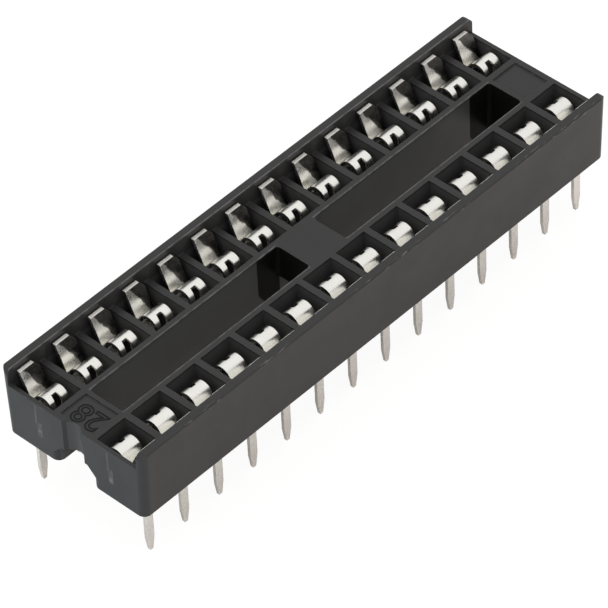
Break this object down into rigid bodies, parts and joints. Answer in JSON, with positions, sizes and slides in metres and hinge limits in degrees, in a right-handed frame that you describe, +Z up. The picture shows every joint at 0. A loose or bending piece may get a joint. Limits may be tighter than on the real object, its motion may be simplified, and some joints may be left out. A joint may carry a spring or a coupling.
{
  "type": "dip ic socket",
  "caption": "Dual-in-line socket: black open-frame housing with rows of sprung dual-wipe contacts and flat solder tails, holding a chip above a circuit board.",
  "frame": {"origin": "middle of the housing's underside, in the plane that sits on the board", "axes": "+X along the two rows, away from the index notch; +Y across the rows; +Z up, from the board to the chip"},
  "size_m": [0.0354, 0.01, 0.0081],
  "materials": {
    "housing_plastic": "glossy black moulded thermoplastic",
    "tinned_contact": "bright tin plate"
  },
  "bodies": {
    "root": {"housing": "housing_plastic", "contact_01": "tinned_contact", "contact_02": "tinned_contact", "contact_03": "tinned_contact", "contact_04": "tinned_contact", "contact_05": "tinned_contact", "contact_06": "tinned_contact", "contact_07": "tinned_contact", "contact_08": "tinned_contact", "contact_09": "tinned_contact", "contact_10": "tinned_contact", "contact_11": "tinned_contact", "contact_12": "tinned_contact", "contact_13": "tinned_contact", "contact_14": "tinned_contact", "contact_15": "tinned_contact", "contact_16": "tinned_contact", "contact_17": "tinned_contact", "contact_18": "tinned_contact", "contact_19": "tinned_contact", "contact_20": "tinned_contact", "contact_21": "tinned_contact", "contact_22": "tinned_contact", "contact_23": "tinned_contact", "contact_24": "tinned_contact", "contact_25": "tinned_contact", "contact_26": "tinned_contact", "contact_27": "tinned_contact", "contact_28": "tinned_contact"}
  },
  "joints": []
}
